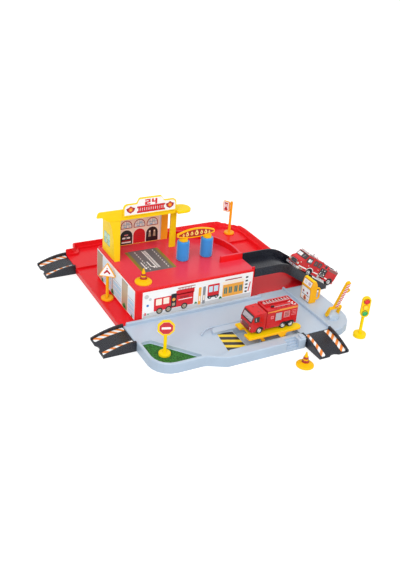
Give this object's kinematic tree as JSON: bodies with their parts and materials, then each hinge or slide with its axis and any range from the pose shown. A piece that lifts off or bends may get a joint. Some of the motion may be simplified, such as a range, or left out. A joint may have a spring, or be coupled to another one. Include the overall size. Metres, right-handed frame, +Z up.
{
  "type": "toy fire station",
  "caption": "Toy fire station play set: garage with roof deck, station house, car wash, lift, ramps, signs, two fire engines",
  "frame": {"origin": "on the floor under the middle of the garage, at the centre of the base's middle foot", "axes": "+X to the right along the garage front, +Y to the back, +Z up"},
  "size_m": [0.4239, 0.4272, 0.157],
  "materials": {
    "red_plastic": "glossy moulded plastic",
    "blue_grey_plastic": "satin moulded plastic",
    "yellow_plastic": "glossy moulded plastic",
    "amber_plastic": "glossy moulded plastic",
    "black_plastic": "satin moulded plastic",
    "blue_brush": "bristly, matt",
    "engine_red_paint": "glossy paint",
    "dark_trim": "matt",
    "plated_metal": "bright plating",
    "tyre_black": "matt"
  },
  "bodies": {
    "play_set": {"base_front": "blue_grey_plastic", "base_rear": "red_plastic", "garage": "red_plastic", "ramp_front_left": "black_plastic", "ramp_rear_left": "black_plastic", "ramp_front_right": "black_plastic", "deck_ramp": "black_plastic", "station_side_wall": "yellow_plastic", "station_back_wall": "amber_plastic", "station_post": "yellow_plastic", "station_roof": "yellow_plastic", "station_sign": "yellow_plastic", "car_wash_sign": "yellow_plastic", "barrier_pin": "yellow_plastic", "fuel_pump": "yellow_plastic", "stop_sign": "yellow_plastic", "stop_sign_base": "yellow_plastic", "triangle_sign": "amber_plastic", "triangle_sign_base": "amber_plastic", "flag_sign": "amber_plastic", "flag_sign_base": "amber_plastic", "traffic_light": "yellow_plastic", "traffic_light_base": "yellow_plastic", "cone_deck": "yellow_plastic", "cone_front": "yellow_plastic", "pumper_chassis": "plated_metal", "pumper_cab": "engine_red_paint", "pumper_pump_panel": "dark_trim", "pumper_body": "engine_red_paint", "pumper_hose_bed": "dark_trim", "pumper_light_bar": "plated_metal"},
    "brush_left": {"brush_left": "blue_brush"},
    "brush_right": {"brush_right": "blue_brush"},
    "lift_arm_front": {"lift_arm_front": "yellow_plastic"},
    "lift_arm_rear": {"lift_arm_rear": "yellow_plastic"},
    "lift_platform": {"lift_platform": "yellow_plastic", "engine_chassis": "dark_trim", "engine_cab": "engine_red_paint", "engine_body": "engine_red_paint", "engine_ladder": "engine_red_paint"},
    "barrier_arm": {"barrier_arm": "yellow_plastic"},
    "engine_axle_1": {"engine_axle_1_axle": "plated_metal", "engine_axle_1_wheel_near": "tyre_black", "engine_axle_1_wheel_far": "tyre_black"},
    "engine_axle_2": {"engine_axle_2_axle": "plated_metal", "engine_axle_2_wheel_near": "tyre_black", "engine_axle_2_wheel_far": "tyre_black"},
    "engine_axle_3": {"engine_axle_3_axle": "plated_metal", "engine_axle_3_wheel_near": "tyre_black", "engine_axle_3_wheel_far": "tyre_black"},
    "pumper_axle_1": {"pumper_axle_1_axle": "plated_metal", "pumper_axle_1_wheel_near": "tyre_black", "pumper_axle_1_wheel_far": "tyre_black"},
    "pumper_axle_2": {"pumper_axle_2_axle": "plated_metal", "pumper_axle_2_wheel_near": "tyre_black", "pumper_axle_2_wheel_far": "tyre_black"}
  },
  "joints": [
    {"name": "lift_arm_front_swing", "type": "hinge", "parent": "play_set", "child": "lift_arm_front", "pos_m": [0.052, -0.16425, 0.0069], "axis": [0, 1, 0], "range_deg": [-36, 24]},
    {"name": "lift_platform_swing", "type": "hinge", "parent": "lift_arm_front", "child": "lift_platform", "pos_m": [0.0443, -0.16425, 0.0175], "axis": [0, 1, 0], "range_deg": [-24, 36]},
    {"name": "lift_arm_rear_swing", "type": "hinge", "parent": "play_set", "child": "lift_arm_rear", "pos_m": [0.086, -0.16425, 0.0069], "axis": [0, 1, 0], "range_deg": [-36, 24]},
    {"name": "barrier_swing", "type": "hinge", "parent": "play_set", "child": "barrier_arm", "pos_m": [0.177, -0.163, 0.0165], "axis": [1, 0, 0], "range_deg": [-20, 64]},
    {"name": "brush_left_spin", "type": "hinge", "parent": "play_set", "child": "brush_left", "pos_m": [0.008, -0.0075, 0.0603], "axis": [0, 0, 1], "continuous": true},
    {"name": "brush_right_spin", "type": "hinge", "parent": "play_set", "child": "brush_right", "pos_m": [0.0475, -0.0075, 0.0603], "axis": [0, 0, 1], "continuous": true},
    {"name": "engine_axle_1_roll", "type": "hinge", "parent": "lift_platform", "child": "engine_axle_1", "pos_m": [0.041, -0.1655, 0.0283], "axis": [0, 1, 0], "continuous": true},
    {"name": "engine_axle_2_roll", "type": "hinge", "parent": "lift_platform", "child": "engine_axle_2", "pos_m": [0.079, -0.1655, 0.0283], "axis": [0, 1, 0], "continuous": true},
    {"name": "engine_axle_3_roll", "type": "hinge", "parent": "lift_platform", "child": "engine_axle_3", "pos_m": [0.0915, -0.1655, 0.0283], "axis": [0, 1, 0], "continuous": true},
    {"name": "pumper_axle_1_roll", "type": "hinge", "parent": "play_set", "child": "pumper_axle_1", "pos_m": [0.19942, -0.0545, 0.03167], "axis": [0, 1, 0], "continuous": true},
    {"name": "pumper_axle_2_roll", "type": "hinge", "parent": "play_set", "child": "pumper_axle_2", "pos_m": [0.2425, -0.0545, 0.0063], "axis": [0, 1, 0], "continuous": true}
  ],
  "couplings": [
    {"joint": "lift_platform_swing", "follows": "lift_arm_front_swing", "ratio": -1},
    {"joint": "lift_arm_rear_swing", "follows": "lift_arm_front_swing", "ratio": 1}
  ]
}
